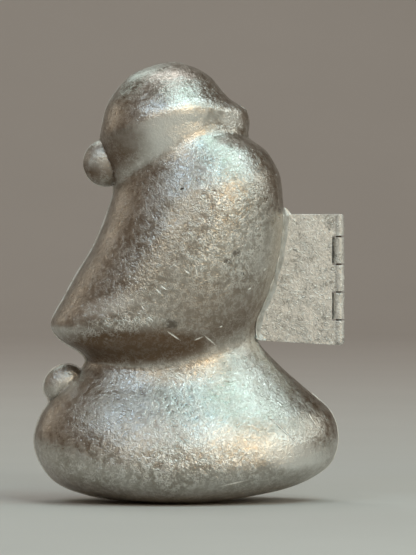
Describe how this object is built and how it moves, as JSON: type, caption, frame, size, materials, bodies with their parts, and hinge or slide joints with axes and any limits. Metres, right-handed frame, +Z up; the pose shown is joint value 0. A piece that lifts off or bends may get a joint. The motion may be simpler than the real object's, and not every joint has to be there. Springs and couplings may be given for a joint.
{
  "type": "ice cream mould",
  "caption": "Hinged two-part cast pewter ice cream mould in the shape of a plump figure seated on a cushion, closed on an upright butt hinge.",
  "frame": {"origin": "middle of the base of the overall box, on the parting plane and on the surface the mould stands on", "axes": "+Z up from the cushion to the crown, +X towards the hinge, the parting plane is XZ and the front half faces -Y"},
  "size_m": [0.0851, 0.053, 0.12],
  "materials": {
    "pewter": "dull aged cast pewter with fine pitting and brown tarnish in the hollows",
    "leaf_pewter": "paler matt cast pewter, mottled",
    "pin_iron": "dark drawn iron wire"
  },
  "bodies": {
    "back": {"back_half": "pewter", "back_hinge_leaf": "leaf_pewter", "hinge_pin": "pin_iron"},
    "front": {"front_half": "pewter", "front_hinge_leaf": "leaf_pewter"}
  },
  "joints": [
    {"name": "mould_hinge", "type": "hinge", "parent": "back", "child": "front", "pos_m": [0.04095, 0, 0.0606], "axis": [0, 0, 1], "range_deg": [0, 180]}
  ]
}
